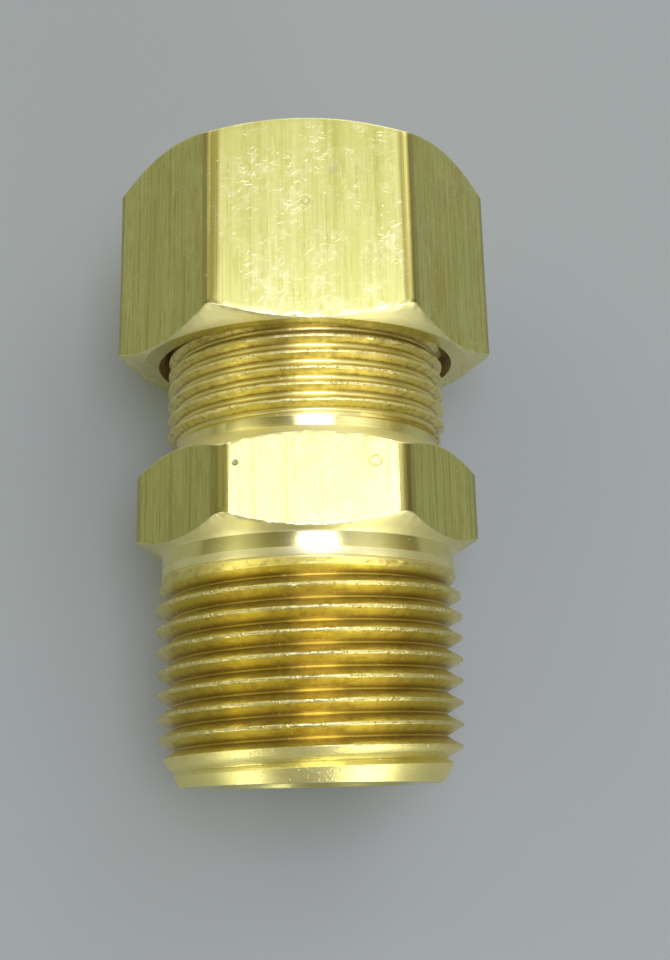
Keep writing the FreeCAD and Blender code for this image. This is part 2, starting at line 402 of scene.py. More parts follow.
def nut_thread_radius(stations):
    """The nut's internal thread and its chamfered mouth."""
    mouth = MOUTH_RADIUS - (stations - NUT_START)
    return np.maximum(NUT_MINOR_RADIUS + thread_height(stations, NUT_THREAD), mouth)


def make_body(materials):
    skin = Skin()
    skin.add_outline([(WATERWAY_RADIUS + WATERWAY_CHAMFER, 0), (PIPE_END_RADIUS - EDGE, 0)], TURNED)
    skin.add_helix(0, PIPE_SKIN_END, PIPE_THREAD, pipe_radius, PIPE, PIPE_BURRS)
    skin.add_outline([(SHANK_RADIUS, SHANK_SKIN_START),
                      (ROUGH_SHANK_RADIUS - GROOVE_DEPTH, GROOVE_START),
                      (ROUGH_SHANK_RADIUS - GROOVE_DEPTH, GROOVE_START + GROOVE_WIDTH),
                      (ROUGH_SHANK_RADIUS, GROOVE_START + GROOVE_END),
                      (SHANK_RADIUS, ROUGH_SHANK_END)], CONE, SHANK_EDGE)
    radii = hexagon_radius(HEX_ACROSS_FLATS, HEX_CORNER_RADIUS)
    tip = radii.max()

    def lower(r):
        return HEX_LOWER_CORNER - (tip - r) * TAN_30

    def upper(r):
        return HEX_UPPER_CORNER + (tip - r) * TAN_30

    skin.add(SHANK_RADIUS, lower(SHANK_RADIUS) - EDGE, TURNED)
    inner = (SHANK_RADIUS + EDGE, HEX_FACE_RADIUS + EDGE)
    add_hexagon(skin, radii, lower, upper, inner, BODY_BURRS, BODY_SEED)
    skin.add_outline([(HEX_FACE_RADIUS, HEX_END),
                      (RELIEF_RADIUS, HEX_END),
                      (RELIEF_RADIUS, FINE_START)], TURNED)
    skin.add_helix(FINE_START, BODY_LENGTH, FINE_THREAD, fine_radius, FINE, FINE_BURRS)
    skin.add_outline([(FINE_RIDGE_RADIUS - FINE_END_CHAMFER - EDGE, BODY_LENGTH),
                      (SEAT_MOUTH_RADIUS, BODY_LENGTH),
                      (SOCKET_RADIUS, SEAT_START),
                      (SOCKET_RADIUS, SOCKET_BOTTOM),
                      (WATERWAY_RADIUS, SOCKET_BOTTOM),
                      (WATERWAY_RADIUS, WATERWAY_CHAMFER)], BORE)
    return skin.build("body_visual", materials, "connector_body")


def make_nut(materials):
    skin = Skin()
    radii = hexagon_radius(NUT_ACROSS_FLATS, NUT_CORNER_RADIUS)

    def lower(r):
        return NUT_START + (r - NUT_CHAMFER_CIRCLE) * TAN_30

    def upper(r):
        return NUT_END - (r - NUT_CHAMFER_CIRCLE) * TAN_30

    skin.add(MOUTH_RADIUS + EDGE, NUT_START, TURNED)
    skin.add(NUT_CHAMFER_CIRCLE - EDGE, NUT_START, TURNED)
    add_hexagon(skin, radii, lower, upper, (NUT_CONE_START, NUT_CONE_START), NUT_BURRS, NUT_SEED)
    skin.add_outline([(NUT_CHAMFER_CIRCLE - EDGE, NUT_END), (NUT_HOLE_RADIUS + EDGE, NUT_END)], TURNED)
    skin.add_outline([(NUT_HOLE_RADIUS, NUT_END - EDGE),
                      (NUT_HOLE_RADIUS, NUT_SEAT_END),
                      (NUT_MINOR_RADIUS, NUT_SEAT_START),
                      (NUT_MINOR_RADIUS, UNDERCUT_END),
                      (UNDERCUT_RADIUS, UNDERCUT_END),
                      (UNDERCUT_RADIUS, UNDERCUT_START)], BORE)
    skin.add_helix(UNDERCUT_START, NUT_START, NUT_THREAD, nut_thread_radius, BORE)
    return skin.build("nut_visual", materials, "compression_nut")


def make_sleeve(materials):
    skin = Skin()
    skin.add_outline([(SLEEVE_BORE_RADIUS, SLEEVE_MIDDLE),
                      (SLEEVE_BORE_RADIUS, SLEEVE_START),
                      (SLEEVE_TIP_RADIUS, SLEEVE_START),
                      (SLEEVE_OUTER_RADIUS, SLEEVE_START + SLEEVE_TAPER_LENGTH),
                      (SLEEVE_OUTER_RADIUS, SLEEVE_END - SLEEVE_TAPER_LENGTH),
                      (SLEEVE_TIP_RADIUS, SLEEVE_END),
                      (SLEEVE_BORE_RADIUS, SLEEVE_END),
                      (SLEEVE_BORE_RADIUS, SLEEVE_MIDDLE + SLEEVE_OVERLAP)], TURNED)
    return skin.build("sleeve_visual", materials, "compression_sleeve")


# ---------------------------------------------------------------- materials

class Nodes:
    """Short ways to add shader nodes to a material or to the world."""

    def __init__(self, owner, shader, coordinates):
        owner.use_nodes = True
        self.owner = owner
        self.tree = owner.node_tree
        self.shader = self.tree.nodes[shader]
        self.position = self.add("ShaderNodeTexCoord").outputs[coordinates]

    def add(self, kind, **settings):
        node = self.tree.nodes.new(kind)
        for key, value in settings.items():
            setattr(node, key, value)
        return node

    def link(self, source, target):
        """source is a socket or a plain value."""
        if isinstance(source, (int, float, tuple)):
            target.default_value = source
        else:
            self.tree.links.new(source, target)

    def maths(self, operation, a, b=0.0):
        node = self.add("ShaderNodeMath", operation=operation)
        self.link(a, node.inputs[0])
        self.link(b, node.inputs[1])
        return node.outputs[0]

    def plus(self, a, b):
        return self.maths("ADD", a, b)

    def times(self, a, b):
        return self.maths("MULTIPLY", a, b)

    def larger(self, a, b):
        return self.maths("MAXIMUM", a, b)

    def vector(self, operation, a, b=(0.0, 0.0, 0.0)):
        node = self.add("ShaderNodeVectorMath", operation=operation)
        self.link(a, node.inputs[0])
        self.link(b, node.inputs[1])
        if operation in ("LENGTH", "DISTANCE", "DOT_PRODUCT"):
            return node.outputs["Value"]
        return node.outputs[0]

    def joined(self, x, y, z=0.0):
        node = self.add("ShaderNodeCombineXYZ")
        for source, target in zip((x, y, z), node.inputs):
            self.link(source, target)
        return node.outputs[0]

    def split(self, vector):
        """The X, Y and Z of a vector."""
        node = self.add("ShaderNodeSeparateXYZ")
        self.link(vector, node.inputs[0])
        return node.outputs

    def noise_at(self, place, detail, roughness=0.5):
        node = self.add("ShaderNodeTexNoise")
        self.link(place, node.inputs["Vector"])
        node.inputs["Scale"].default_value = 1.0
        node.inputs["Detail"].default_value = detail
        node.inputs["Roughness"].default_value = roughness
        return node.outputs["Fac"]

    def noise(self, pattern, shift=0.0):
        """The noise of one of the patterns below, moved by a material's shift."""
        cells, detail, roughness, own_shift = pattern
        scaled = self.vector("MULTIPLY", self.position, tuple(c / MM for c in cells))
        moved = self.vector("ADD", scaled, tuple((shift + own_shift) * step for step in SHIFT_STEPS))
        return self.noise_at(moved, detail, roughness)

    def spread(self, value, low, high, to_low=0.0, to_high=1.0):
        """Moves the range low to high onto to_low to to_high, held at its ends."""
        node = self.add("ShaderNodeMapRange")
        self.link(value, node.inputs["Value"])
        for key, number in (("From Min", low), ("From Max", high), ("To Min", to_low), ("To Max", to_high)):
            node.inputs[key].default_value = number
        return node.outputs[0]

    def mix(self, amount, first, second):
        node = self.add("ShaderNodeMix", data_type="RGBA")
        self.link(amount, node.inputs[0])
        self.link(first, node.inputs[6])
        self.link(second, node.inputs[7])
        return node.outputs[2]

    def bumps(self, layers):
        """The normal of a surface with layers of (height, millimetres of a full step)."""
        normal = None
        for height, distance in layers:
            node = self.add("ShaderNodeBump")
            node.inputs["Distance"].default_value = distance * MM
            self.link(height, node.inputs["Height"])
            if normal is not None:
                self.link(normal, node.inputs["Normal"])
            normal = node.outputs[0]
        return normal

    def along(self, direction):
        """A tangent across the surface, at right angles to a direction."""
        normal = self.add("ShaderNodeNewGeometry").outputs["Normal"]
        return self.vector("NORMALIZE", self.vector("CROSS_PRODUCT", normal, direction))

    def metal(self, colour, roughness, normal, anisotropic, tangent):
        inputs = self.shader.inputs
        inputs["Metallic"].default_value = 1.0
        inputs["Anisotropic"].default_value = anisotropic
        self.link(colour, inputs["Base Color"])
        self.link(roughness, inputs["Roughness"])
        self.link(normal, inputs["Normal"])
        self.link(tangent, inputs["Tangent"])
        return self.owner


def material_nodes(name):
    return Nodes(bpy.data.materials.new(name), "Principled BSDF", "Object")


FROSTED_AND_GLINT = (0.87, 0.81, 0.38, 1.0)
BRASS = (0.82, 0.75, 0.27, 1.0)
THREAD_BRASS = (0.84, 0.74, 0.24, 1.0)
PIPE_BRASS = (0.76, 0.65, 0.17, 1.0)
DRAWN_BRASS = (0.59, 0.565, 0.145, 1.0)
DRAWN_PALE = (0.69, 0.665, 0.22, 1.0)
GREEN_STREAK = (0.33, 0.34, 0.045, 1.0)
BROWN_STAIN_AND_SHADE = (0.42, 0.34, 0.08, 1.0)
# Dark brown of oil in thread roots, used also as painted shade there and inside the nut
OIL_AND_SHADE_BRASS = (0.40, 0.29, 0.08, 1.0)
DULL_CREST = (0.50, 0.44, 0.17, 1.0)
STOCK_MARK_AND_SHADE = (0.12, 0.12, 0.05, 1.0)
# Pale colour of scuffs, and of painted glints on threads
SCUFF_AND_GLINT = (0.97, 0.93, 0.56, 1.0)
FLOOR_DARK = (0.265, 0.285, 0.23, 1.0)
FLOOR_LIGHT = (0.285, 0.305, 0.25, 1.0)

# Noise patterns: cells per millimetre along X, Y and Z, detail, roughness and shift
STOCK_PATTERNS = {
    "broad": ((0.55, 0.02, 0.55), 3.0, 0.55, 0),
    "narrow": ((2.4, 0.035, 2.4), 3.0, 0.6, 5),
    "fine": ((9.0, 0.10, 9.0), 2.0, 0.6, 9),
    "dashes": ((4.5, 0.35, 4.5), 3.0, 0.6, 13),
    "cloud": ((0.30, 0.12, 0.30), 4.0, 0.6, 17),
}
SCRATCH_PATCHES = ((0.22, 0.16, 0.22), 3.0, 0.6, 21)
SCRATCH_HAZE = ((1.2, 0.9, 1.2), 5.0, 0.7, 6)
TURNED_CLOUD = ((0.35, 0.35, 0.35), 4.0, 0.6, 0)
SPARKLE = ((5.0, 5.0, 5.0), 2.0, 0.6, 4)
ROOT_WANDER = ((2.6, 2.6, 2.6), 3.0, 0.6, 8)
MOTTLE = ((1.1, 1.1, 1.1), 4.0, 0.65, 11)
CHIPS = ((2.0, 2.0, 2.0), 3.0, 0.7, 15)
FLOOR_TONE = ((0.004, 0.004, 0.004), 3.0, 0.5, 0)
SHIFT_STEPS = (1, 1.7, 0.6)

# Specks: cells per millimetre, size of a spot in cells, shift, and the share of the cells that have one
NICKS = (1.0, 0.10, 0, 0.30)
PITS_AND_GLINTS = (1.4, 0.12, 0, 0.20)
GLINTS = (2.0, 0.15, 9, 0.35)
BEADS = (2.0, 0.30, 5, 0.5)
SMALL_BEADS = (3.4, 0.32, 6, 0.45)

# Scratches: directions in degrees, cells per millimetre along and across one, and the shift from one
# direction to the next
SCRATCH_ANGLES = (4, -17, 27, 58)
SCRATCH_ALONG = 1.1
SCRATCH_ACROSS = 7.0
SCRATCH_SHIFT = 7.3

# The range of a noise that shows, and its strength at the ends of the range where that isn't 0 and 1
LINES_SHOWN = (0.73, 0.81)
PATCHES_SHOWN = (0.42, 0.60)
HAZE_SHOWN = (0.45, 0.75, 0.0, 0.6)
PALE_SHOWN = (0.40, 0.58)
CLOUD_SHOWN = (0.35, 0.70)
MOTTLE_SHOWN = (0.48, 0.68, 0.0, 0.6)
CHIPS_SHOWN = (0.52, 0.64)
FLOOR_SHOWN = (0.3, 0.7)

# Stains on drawn stock from the lowest up: pattern, the range of it that shows with the strength at each end,
# and colour
STOCK_STAINS = (
    ("broad", (0.48, 0.60, 0.12, 0.5), GREEN_STREAK),
    ("narrow", (0.52, 0.64, 0.0, 0.7), GREEN_STREAK),
    ("dashes", (0.55, 0.66, 0.0, 0.7), GREEN_STREAK),
    ("cloud", (0.54, 0.68, 0.0, 0.6), BROWN_STAIN_AND_SHADE),
)

# How far below its height the upper flat starts and is full. Streaks and stains have this share of their
# strength on it; scratches have these shares of theirs on the other flats and on the corners
TOP_DEPTHS = (0.5, 0.1)
TOP_STREAKS = 0.35
SIDE_SCRATCHES = 0.4
CORNER_SCRATCHES = 0.2

# Corners: width of the darkened part's edge and of the dark tip, how strongly painted shade darkens each, and
# the share of roughness
CORNER_EDGE = 0.15
TIP_WIDTH = 0.05
CORNER_SHADE = 0.55
TIP_SHADE = 0.65
CORNER_ROUGHNESS = 0.55

# Marks on the upper flats: x, station, radius, width of the ring, strength
HEXAGON_MARKS = ((-6.4, 25.03, 0.33, 0.33, 0.9), (5.1, 25.2, 0.66, 0.22, 0.4))
NUT_MARKS = ((-0.4, 47.5, 0.5, 0.16, 0.22), (2.1, 50.5, 0.6, 0.6, 0.14))

# Shares of the broad and the narrow streaks in the stock's tone, and of the cloud in its roughness; the range
# of these with the roughness at its ends; and the shift of its scratches
BROAD_SHARE = 0.6
NARROW_SHARE = 0.4
CLOUD_SHARE = 0.4
DRAWN_ROUGHNESS = (0.5, 0.9, 0.30, 0.44)
DRAWN_ANISOTROPY = 0.55
SCRATCHES_SHIFT = 2

# How bright nicks are, and the heights of the stock's fine lines, narrow streaks, nicks and marks
NICK_SHINE = 0.75
DIE_LINE_HEIGHT = 0.008
STREAK_HEIGHT = 0.02
NICK_HEIGHT = 0.004
MARK_HEIGHT = -0.02

# Drawn stock: shift, height of the upper flat, radii where a corner starts and ends, how strongly it is
# scratched, and its marks
DRAWN_FINISHES = {
    "drawn_body": (2.0, AXIS_HEIGHT + HEX_ACROSS_FLATS / 2, 14.9, 15.29, 0.35, HEXAGON_MARKS),
    "drawn_nut": (8.0, 2 * AXIS_HEIGHT, 16.9, 17.26, 1.0, NUT_MARKS),
}

# Turned brass: shift, colour, roughness, tool lines per millimetre and their depth, grain, anisotropy
TURNED_FINISHES = {
    "turned_body": (1.0, BRASS, 0.22, 6.0, 0.008, 0.002, 0.55),
    "pipe_thread": (3.0, PIPE_BRASS, 0.32, 7.0, 0.016, 0.008, 0.4),
    "compression_thread": (4.0, THREAD_BRASS, 0.34, 7.0, 0.016, 0.008, 0.4),
    "bore": (5.0, BRASS, 0.30, 5.0, 0.008, 0.004, 0.4),
    "cone_body": (6.0, FROSTED_AND_GLINT, 0.46, 6.0, 0.008, 0.006, 0.7),
    "turned_nut": (7.0, BRASS, 0.26, 6.0, 0.008, 0.003, 0.55),
    # Painted shade: the nut's inner surfaces take the dark oil-and-shade colour
    "nut_thread": (9.0, OIL_AND_SHADE_BRASS, 0.40, 5.0, 0.008, 0.004, 0.4),
    "cone_nut": (10.0, FROSTED_AND_GLINT, 0.46, 6.0, 0.008, 0.006, 0.7),
    "turned_sleeve": (11.0, BRASS, 0.20, 8.0, 0.008, 0.002, 0.5),
}

# Turned brass: shade of its darker patches, shares of its roughness at its smoothest and roughest, how bright
# its pits are painted as glints, and how high they are
PATCH_SHADE = 0.86
ROUGHNESS_RANGE = (0.3, 0.7)
SMOOTHEST = 0.85
ROUGHEST = 1.2
PIT_GLINT = 0.7
PIT_HEIGHT = 0.015

# Threads. The root's edge is a height above the root, worn crests are shares of the depth, and full crests
# are given by how far the end chamfer stands below them. Oil with painted shade starts at a share of its
# height, which wanders
ROOT_EDGE = (0.06, 0.14)
WORN_CREST = (0.88, 0.96)
FULL_CREST = (-0.30, -0.03)
OIL_AND_SHADE_START = 0.4
OIL_AND_SHADE_STRENGTH = 0.85
OIL_AND_SHADE_WANDER = (0.3, 0.7, -0.10, 0.10)
CLEAN_FIRST_TURN = (1.5, 3.2, 0.75, 0.0)
WORN_SHINE = 0.4
WORN_ROUGHNESS = 0.10

# How strong the painted glints are against the dullness of the crests, how strong beads are off the crests,
# and the heights of glints, beads and chips
GLINT_STRENGTH = 1.6
LOW_BEADS = 0.15
GLINT_HEIGHT = 0.03
BEAD_HEIGHT = 0.05
CHIP_HEIGHT = 0.010

# Threads' wear: crest radius at station 0 and taper, the same of the end chamfer, depth, height of the root's
# oil and painted shade, and dullness of the crests
PIPE_WEAR = (PIPE_CREST_RADIUS, PIPE_TAPER, PIPE_END_RADIUS, 0.636, 1.45, 0.7, 0.6)
FINE_WEAR = (FINE_RIDGE_RADIUS, 0.0, FINE_RIDGE_RADIUS, 0.0, 0.836, 0.35, 0.2)


def scratches(n, shift, unrolled):
    """Short straight scratches in several directions, in patches. unrolled is the place on the skin."""
    lines = 0.0
    for k, angle in enumerate(SCRATCH_ANGLES):
        east, north = math.cos(math.radians(angle)), math.sin(math.radians(angle))
        lengthwise = n.vector("DOT_PRODUCT", unrolled, (east * SCRATCH_ALONG, north * SCRATCH_ALONG, 0.0))
        crosswise = n.vector("DOT_PRODUCT", unrolled, (-north * SCRATCH_ACROSS, east * SCRATCH_ACROSS, 0.0))
        field = n.noise_at(n.joined(lengthwise, crosswise, shift + SCRATCH_SHIFT * k), 0.0)
        lines = n.larger(lines, n.spread(field, *LINES_SHOWN))
    haze = n.spread(n.noise(SCRATCH_HAZE, shift), *HAZE_SHOWN)
    patches = n.spread(n.noise(SCRATCH_PATCHES, shift), *PATCHES_SHOWN)
    return n.times(n.larger(lines, haze), patches)


def specks(n, kind, shift):
    """Small round spots, in a share of the cells."""
    cells, size, own_shift, share = kind
    scaled = n.vector("MULTIPLY", n.position, (cells / MM,) * 3)
    node = n.add("ShaderNodeTexVoronoi", feature="F1")
    n.link(n.vector("ADD", scaled, (shift + own_shift,) * 3), node.inputs["Vector"])
    node.inputs["Scale"].default_value = 1.0
    spot = n.spread(node.outputs["Distance"], size * 0.5, size, 1.0, 0.0)
    split = n.add("ShaderNodeSeparateColor")
    n.link(node.outputs["Color"], split.inputs[0])
    return n.times(spot, n.maths("LESS_THAN", split.outputs[0], share))


def ring(n, x, station, z, radius, width):
    """A soft ring, or a filled spot when its width is as large as its radius."""
    away = n.vector("DISTANCE", n.position, (x * MM, (station - HALF_LENGTH) * MM, z * MM))
    off = n.maths("ABSOLUTE", n.maths("SUBTRACT", away, (radius - width) * MM))
    return n.spread(off, width * 0.6 * MM, width * MM, 1.0, 0.0)


def lathe_place(n):
    """The offset from the axis as a vector in metres, and the radius and station in millimetres."""
    from_axis = n.vector("SUBTRACT", n.position, (0.0, 0.0, AXIS_HEIGHT * MM))
    across = n.vector("MULTIPLY", from_axis, (1.0, 0.0, 1.0))
    radius = n.maths("DIVIDE", n.vector("LENGTH", across), MM)
    station = n.plus(n.vector("DOT_PRODUCT", n.position, (0.0, 1 / MM, 0.0)), HALF_LENGTH)
    return across, radius, station


def flat_marks(n, top, marks):
    """Rings and spots on the flat at the height top."""
    marked = 0.0
    for x, station, radius, width, strength in marks:
        marked = n.larger(marked, n.times(ring(n, x, station, top, radius, width), strength))
    return marked


def stock_colour(n, patterns, streak, depth):
    """Pale and dark streaks under green and brown stains, whose strength is depth."""
    colour = n.mix(n.spread(streak, *PALE_SHOWN), DRAWN_BRASS, DRAWN_PALE)
    for key, shown, stain in STOCK_STAINS:
        colour = n.mix(n.times(n.spread(patterns[key], *shown), depth), colour, stain)
    return colour


def drawn_brass(name):
    """Bar stock as drawn: lengthwise streaks, die lines, corners darkened with painted shade, scratches and
    marks of its own.

    Its upper flat is more scratched, and the streaks there are fainter.
    """
    shift, top, corner_start, corner_tip, scuffing, marks = DRAWN_FINISHES[name]
    n = material_nodes(name)
    across, radius, station = lathe_place(n)
    height = n.vector("DOT_PRODUCT", n.position, (0.0, 0.0, 1 / MM))
    depth = n.spread(height, top - TOP_DEPTHS[0], top - TOP_DEPTHS[1], 1.0, TOP_STREAKS)
    corner = n.spread(radius, corner_start, corner_start + CORNER_EDGE)
    tip = n.spread(radius, corner_tip - TIP_WIDTH, corner_tip, 0.0, TIP_SHADE)
    patterns = {key: n.noise(pattern, shift) for key, pattern in STOCK_PATTERNS.items()}
    streak = n.plus(n.times(patterns["broad"], BROAD_SHARE), n.times(patterns["narrow"], NARROW_SHARE))

    x, _, z = n.split(across)
    unrolled = n.joined(n.times(n.maths("ARCTAN2", x, z), corner_start), station)
    scratched = n.times(n.spread(depth, TOP_STREAKS, 1.0, 1.0, SIDE_SCRATCHES),
                        n.spread(corner, 0.0, 1.0, 1.0, CORNER_SCRATCHES))
    scuffs = n.times(scratches(n, shift + SCRATCHES_SHIFT, unrolled), n.times(scratched, scuffing))
    nicks = n.larger(scuffs, specks(n, NICKS, shift))
    marked = flat_marks(n, top, marks)

    colour = stock_colour(n, patterns, streak, depth)
    # Painted shade: corners darken towards brown, and their tips nearly to black
    colour = n.mix(n.times(corner, CORNER_SHADE), colour, BROWN_STAIN_AND_SHADE)
    colour = n.mix(tip, colour, STOCK_MARK_AND_SHADE)
    colour = n.mix(n.times(nicks, NICK_SHINE), colour, SCUFF_AND_GLINT)
    colour = n.mix(marked, colour, STOCK_MARK_AND_SHADE)
    roughness = n.spread(n.plus(streak, n.times(patterns["cloud"], CLOUD_SHARE)), *DRAWN_ROUGHNESS)
    roughness = n.times(roughness, n.spread(corner, 0.0, 1.0, 1.0, CORNER_ROUGHNESS))
    normal = n.bumps([(patterns["fine"], DIE_LINE_HEIGHT),
                      (patterns["narrow"], STREAK_HEIGHT),
                      (nicks, NICK_HEIGHT),
                      (marked, MARK_HEIGHT)])
    return n.metal(colour, roughness, normal, DRAWN_ANISOTROPY, n.along((0.0, 1.0, 0.0)))


def thread_places(n, shift, radius, station, wear):
    """Where a thread has oil and painted cavity shade near its root, above its root, worn at its crests, and
    on a full crest.
    """
    crest, taper, end_radius, end_slope, full_depth, oil_and_shade_height, _ = wear
    crests = n.plus(n.times(station, taper), crest)
    chamfer = n.plus(n.times(station, end_slope), end_radius)
    height = n.plus(n.maths("SUBTRACT", radius, n.maths("MINIMUM", crests, chamfer)), full_depth)
    wander = n.spread(n.noise(ROOT_WANDER, shift), *OIL_AND_SHADE_WANDER)
    oil_and_shade = n.spread(n.plus(height, wander), oil_and_shade_height * OIL_AND_SHADE_START, oil_and_shade_height, OIL_AND_SHADE_STRENGTH, 0.0)
    above_root = n.spread(height, *ROOT_EDGE)
    worn = n.spread(height, *(full_depth * share for share in WORN_CREST))
    full = n.spread(n.maths("SUBTRACT", chamfer, crests), *FULL_CREST)
    return oil_and_shade, above_root, worn, n.times(worn, full)


def thread_tint(n, shift, station, tint, places, chips, dullness):
    """Oil with painted cavity shade near a thread's root, stains, its bright worn crests with dull tops, and
    its cleaner first turn.
    """
    oil_and_shade, above_root, worn, crest_top = places
    mottle = n.spread(n.noise(MOTTLE, shift), *MOTTLE_SHOWN)
    # Oil near the root, whose dark colour is also painted shade in the thread's hollows
    tint = n.mix(n.times(oil_and_shade, above_root), tint, OIL_AND_SHADE_BRASS)
    tint = n.mix(n.times(mottle, above_root), tint, OIL_AND_SHADE_BRASS)
    tint = n.mix(n.times(worn, WORN_SHINE), tint, FROSTED_AND_GLINT)
    tint = n.mix(n.times(crest_top, dullness), tint, n.mix(chips, DULL_CREST, FROSTED_AND_GLINT))
    return n.mix(n.spread(station, *CLEAN_FIRST_TURN), tint, BRASS)


def turned_brass(name, wear=None):
    """Lathe-cut brass: tool lines round the axis, patches, pits painted bright as glints, a sparkling grain,
    and a thread's wear with oil, painted cavity shade and painted glints.
    """
    shift, colour, roughness, lines, line_depth, grain, anisotropy = TURNED_FINISHES[name]
    n = material_nodes(name)
    across, radius, station = lathe_place(n)
    tool = n.noise_at(n.joined(n.times(station, lines), n.times(radius, lines), shift), 2.0)
    cloud = n.noise(TURNED_CLOUD, shift)
    pits_and_glints = specks(n, PITS_AND_GLINTS, shift)
    darker = tuple(PATCH_SHADE * c for c in colour[:3]) + (1.0,)
    tint = n.mix(n.spread(cloud, *CLOUD_SHOWN), colour, darker)
    rough = n.spread(cloud, *ROUGHNESS_RANGE, roughness * SMOOTHEST, roughness * ROUGHEST)
    layers = [(tool, line_depth), (n.noise(SPARKLE, shift), grain), (pits_and_glints, PIT_HEIGHT)]
    glints = 0.0
    if wear is not None:
        dullness = wear[-1]
        places = thread_places(n, shift, radius, station, wear)
        worn, crest_top = places[2:]
        chips = n.spread(n.noise(CHIPS, shift), *CHIPS_SHOWN)
        beads = n.larger(specks(n, BEADS, shift), specks(n, SMALL_BEADS, shift))
        glints = n.times(specks(n, GLINTS, shift), min(1.0, GLINT_STRENGTH * dullness))
        tint = thread_tint(n, shift, station, tint, places, chips, dullness)
        rough = n.plus(rough, n.times(worn, WORN_ROUGHNESS))
        layers += [(glints, GLINT_HEIGHT),
                   (n.times(beads, n.spread(crest_top, 0.0, 1.0, LOW_BEADS, 1.0)), BEAD_HEIGHT),
                   (n.times(chips, crest_top), CHIP_HEIGHT)]
    # Painted glints: pits lighten towards pale brass
    tint = n.mix(n.times(pits_and_glints, PIT_GLINT), tint, FROSTED_AND_GLINT)
    # Painted glints: pale specks on threads
    tint = n.mix(glints, tint, SCUFF_AND_GLINT)
    around = n.vector("NORMALIZE", n.vector("CROSS_PRODUCT", across, (0.0, 1.0, 0.0)))
    return n.metal(tint, rough, n.bumps(layers), anisotropy, n.along(around))


def floor_material():
    n = material_nodes("pale_floor")
    tone = n.spread(n.noise(FLOOR_TONE), *FLOOR_SHOWN)
    n.link(n.mix(tone, FLOOR_DARK, FLOOR_LIGHT), n.shader.inputs["Base Color"])
    n.shader.inputs["Roughness"].default_value = FLOOR_ROUGHNESS
    return n.owner


# ---------------------------------------------------------------- stage, light and camera

# The floor, in metres, and how far past the part's middle it touches the nut, in millimetres
FLOOR_SIZE = 3.0
FLOOR_TOUCH = 10.5
FLOOR_SLOPE = 0.0555
FLOOR_ROUGHNESS = 0.75
FLOOR_CORNERS = ((-1, -1), (1, -1), (1, 1), (-1, 1))

# The overhead light: its height in metres, and the angles that it spans across and along the part
OVERHEAD_HEIGHT = 1.0
OVERHEAD_SPAN = (-9, 19)
OVERHEAD_REACH = (-19.3, 15.0)
OVERHEAD_POWER = 8.2
COOL_WHITE = (0.62, 0.63, 1.0)
WHITE = (1.0, 1.0, 1.0)

# Soft lights past the pipe end: turn from -Y towards +X, height angle, width, height, power
FRONT_DISTANCE = 0.8
FRONT_LIGHTS = (("front_left", -38, 8, 0.24, 0.24, 1.3), ("front_right", 31, 13, 0.42, 0.33, 2.3))

# The surroundings, by angle from overhead towards +X; darker towards -Y, brighter towards +Y, and plain
# where a direction lies close to either. Each range is of a direction's Y, with the strength at its ends.
FRONT_SHADE = (-0.9, 0.1, 0.55, 1.0)
BACK_GLOW = (0.15, 0.5, 1.0, 2.6)
END_WALL_FADE = (0.88, 0.96)
PLAIN_WALL = (0.21, 0.21, 0.19)
WALLS = (
    (-90, PLAIN_WALL),
    (-73, (0.48, 0.47, 0.38)),
    (-60, (0.95, 0.93, 0.84)),
    (-46, (0.60, 0.59, 0.50)),
    (-34, (0.30, 0.29, 0.20)),
    (-12, (0.26, 0.26, 0.22)),
    (8, (0.32, 0.32, 0.32)),
    (24, (0.66, 0.66, 0.74)),
    (38, (1.00, 1.00, 1.20)),
    (52, (0.90, 0.88, 0.96)),
    (66, (0.52, 0.49, 0.43)),
    (80, (0.27, 0.24, 0.16)),
    (90, PLAIN_WALL),
)

# The camera: the point it aims at and its distance, in millimetres, its direction and its lens
CAMERA_AIM = (2.851, 14.068, 15.081)
CAMERA_DISTANCE = 140.05
CAMERA_ELEVATION = math.radians(71.21)
CAMERA_AZIMUTH = math.radians(-10.38)
CAMERA_ROLL = math.radians(9.67)
CAMERA_LENS = 55.89
CAMERA_SENSOR = 36
CAMERA_SHIFT = -1 / 6
CAMERA_NEAR = 0.01
CAMERA_FAR = 20


def make_floor():
    """A plain floor under the nut's lower edge and the pipe thread."""
    corners = []
    for side, end in FLOOR_CORNERS:
        x = side * FLOOR_SIZE / 2
        y = end * FLOOR_SIZE / 2
        corners.append((x, y, (FLOOR_TOUCH * MM - y) * FLOOR_SLOPE))
    mesh = bpy.data.meshes.new("floor")
    mesh.from_pydata(corners, [], [(0, 1, 2, 3)])
    mesh.materials.append(floor_material())
    floor = bpy.data.objects.new("floor", mesh)
    bpy.context.scene.collection.objects.link(floor)
    floor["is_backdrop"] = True


def soft_light(name, centre, width, length, power, colour):
    """A rectangular soft light that faces down."""
    data = bpy.data.lights.new(name, "AREA")
    data.shape = "RECTANGLE"
    data.size = width
    data.size_y = length
    data.energy = power
    data.color = colour
    light = bpy.data.objects.new(name, data)
    light.location = centre
    bpy.context.scene.collection.objects.link(light)
    return light


def direction(turn, height):
    """A direction by its turn from -Y towards +X and its height, both in radians."""
    level = math.cos(height)
    return Vector((math.sin(turn) * level, -math.cos(turn) * level, math.sin(height)))


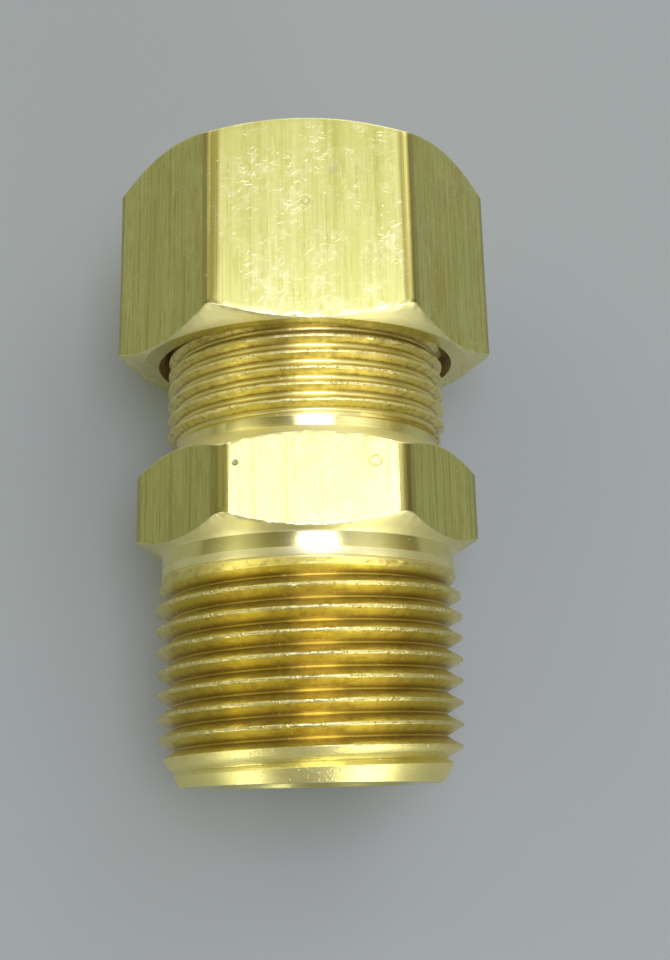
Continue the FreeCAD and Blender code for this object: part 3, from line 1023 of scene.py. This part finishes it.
def make_lights():
    """A broad soft light overhead and two low ones past the pipe end."""
    left, right = (OVERHEAD_HEIGHT * math.tan(math.radians(angle)) for angle in OVERHEAD_SPAN)
    front, back = (OVERHEAD_HEIGHT * math.tan(math.radians(angle)) for angle in OVERHEAD_REACH)
    centre = ((left + right) / 2, (back + front) / 2, OVERHEAD_HEIGHT)
    soft_light("overhead", centre, right - left, back - front, OVERHEAD_POWER, COOL_WHITE)
    for name, turn, height, width, length, power in FRONT_LIGHTS:
        centre = direction(math.radians(turn), math.radians(height)) * FRONT_DISTANCE
        light = soft_light(name, centre, width, length, power, WHITE)
        light.rotation_mode = "QUATERNION"
        light.rotation_quaternion = (-centre).to_track_quat("-Z", "Y")


def make_surroundings():
    """A plain room whose brightness changes with the angle from overhead towards +X."""
    n = Nodes(bpy.data.worlds.new("surroundings"), "Background", "Generated")
    x, y, z = n.split(n.position)
    node = n.add("ShaderNodeValToRGB")
    n.link(n.spread(n.maths("ARCTAN2", x, z), -math.pi / 2, math.pi / 2), node.inputs[0])
    ramp = node.color_ramp
    ramp.elements.remove(ramp.elements[0])
    ramp.elements[0].position = 1.0
    ramp.elements[0].color = WALLS[-1][1] + (1.0,)
    for angle, colour in WALLS[:-1]:
        ramp.elements.new((angle + 90) / 180).color = colour + (1.0,)
    end_wall = n.spread(n.maths("ABSOLUTE", y), *END_WALL_FADE)
    n.link(n.mix(end_wall, node.outputs[0], PLAIN_WALL + (1.0,)), n.shader.inputs["Color"])
    n.link(n.times(n.spread(y, *FRONT_SHADE), n.spread(y, *BACK_GLOW)), n.shader.inputs["Strength"])
    bpy.context.scene.world = n.owner


def make_camera():
    """The view from the pipe end, high above the fitting."""
    back = direction(CAMERA_AZIMUTH, CAMERA_ELEVATION)
    flat_right = Vector((0, 0, 1)).cross(back).normalized()
    flat_up = back.cross(flat_right)
    right = flat_right * math.cos(CAMERA_ROLL) + flat_up * math.sin(CAMERA_ROLL)
    up = back.cross(right)
    data = bpy.data.cameras.new("camera")
    data.lens = CAMERA_LENS
    data.sensor_width = CAMERA_SENSOR
    data.shift_y = CAMERA_SHIFT
    data.clip_start = CAMERA_NEAR
    data.clip_end = CAMERA_FAR
    camera = bpy.data.objects.new("camera", data)
    turned = Matrix((right, up, back)).transposed().to_4x4()
    turned.translation = (Vector(CAMERA_AIM) + back * CAMERA_DISTANCE) * MM
    camera.matrix_world = turned
    bpy.context.scene.collection.objects.link(camera)
    bpy.context.scene.camera = camera


# ---------------------------------------------------------------- assembly

def main():
    cad_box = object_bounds()
    make_camera()
    make_lights()
    make_surroundings()
    make_floor()
    body_finishes = [turned_brass("turned_body"),
                     drawn_brass("drawn_body"),
                     turned_brass("pipe_thread", PIPE_WEAR),
                     turned_brass("compression_thread", FINE_WEAR),
                     turned_brass("bore"),
                     turned_brass("cone_body")]
    nut_finishes = [turned_brass("turned_nut"),
                    drawn_brass("drawn_nut"),
                    body_finishes[PIPE],
                    body_finishes[FINE],
                    turned_brass("nut_thread"),
                    turned_brass("cone_nut")]
    sleeve_finishes = [turned_brass("turned_sleeve")]
    pieces = ((make_body(body_finishes), "connector", "connector_body", "body_brass"),
              (make_nut(nut_finishes), "nut", "compression_nut", "nut_brass"),
              (make_sleeve(sleeve_finishes), "sleeve", "compression_sleeve", "sleeve_brass"))
    for piece, body, node, slot in pieces:
        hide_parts(node)
        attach(piece, body)
    bpy.context.scene.view_settings.view_transform = "Standard"
    return cad_box


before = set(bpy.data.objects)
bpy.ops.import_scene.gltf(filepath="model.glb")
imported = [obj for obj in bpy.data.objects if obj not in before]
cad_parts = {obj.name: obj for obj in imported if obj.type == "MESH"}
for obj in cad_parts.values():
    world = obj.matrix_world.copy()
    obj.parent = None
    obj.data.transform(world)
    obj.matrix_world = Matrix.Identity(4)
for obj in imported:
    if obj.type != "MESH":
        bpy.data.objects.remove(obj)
CAD_BOX = main()
